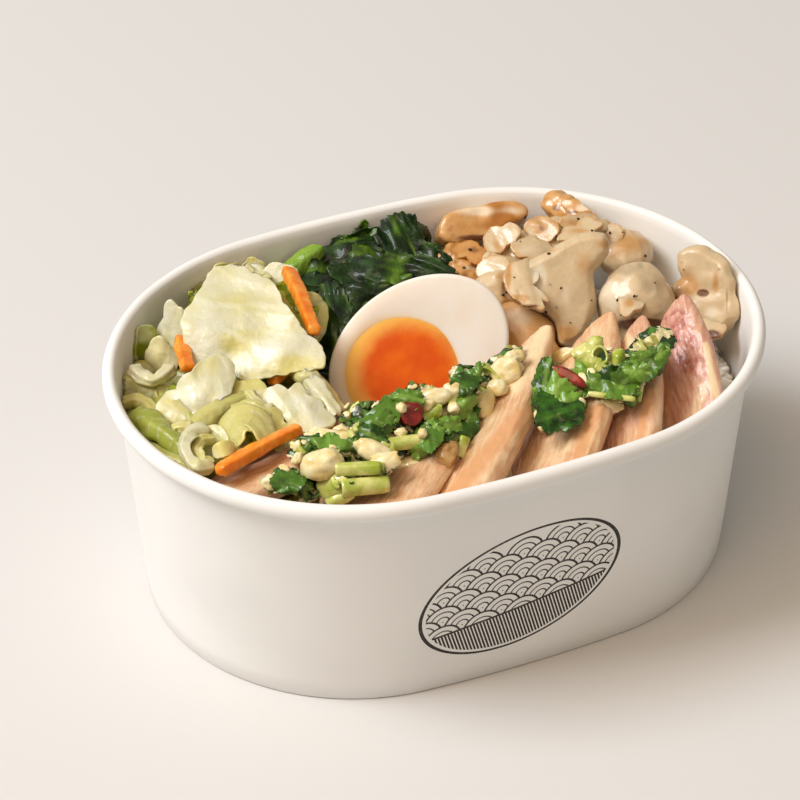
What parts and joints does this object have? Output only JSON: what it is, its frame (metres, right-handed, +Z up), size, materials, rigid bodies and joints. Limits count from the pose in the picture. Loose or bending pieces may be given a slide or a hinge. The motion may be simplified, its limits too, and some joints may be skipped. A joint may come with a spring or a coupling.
{
  "type": "bento box meal",
  "caption": "Oval paper box with a rolled rim, filled with rice, sliced steamed chicken, herb relish, half a soft egg, mushrooms, spinach and cabbage.",
  "frame": {"origin": "centre of the box's foot, on the surface it stands on", "axes": "+X along the box's length towards the end with the mushrooms, +Y towards the long side behind the spinach, +Z up"},
  "size_m": [0.19, 0.142, 0.0841],
  "materials": {
    "paper": "matte coated white paper",
    "rice": "cooked white rice, moist",
    "cabbage": "soft cooked cabbage, moist",
    "carrot": "cooked carrot, moist",
    "spinach": "wilted dark green leaves, wet",
    "egg_white": "smooth cooked egg white, moist",
    "egg_yolk": "soft orange yolk, glossy",
    "chicken": "steamed chicken, moist",
    "mushroom": "cooked pale mushroom, moist",
    "browned_mushroom": "browned mushroom, moist",
    "relish": "oily herb, garlic and spring onion relish"
  },
  "bodies": {
    "root": {"box_wall": "paper", "box_base": "paper", "rice": "rice", "cabbage": "cabbage", "carrot_1": "carrot", "carrot_2": "carrot", "carrot_3": "carrot", "carrot_4": "carrot", "spinach": "spinach", "egg_white": "egg_white", "egg_yolk": "egg_yolk", "chicken_1": "chicken", "chicken_2": "chicken", "chicken_3": "chicken", "chicken_4": "chicken", "chicken_5": "chicken", "chicken_6": "chicken", "mushroom_1": "browned_mushroom", "mushroom_2": "browned_mushroom", "mushroom_3": "mushroom", "mushroom_4": "browned_mushroom", "mushroom_5": "mushroom", "mushroom_6": "mushroom", "mushroom_7": "mushroom", "mushroom_8": "mushroom", "mushroom_9": "browned_mushroom", "mushroom_10": "mushroom", "relish_left": "relish", "relish_middle": "relish", "relish_right": "relish"}
  },
  "joints": []
}
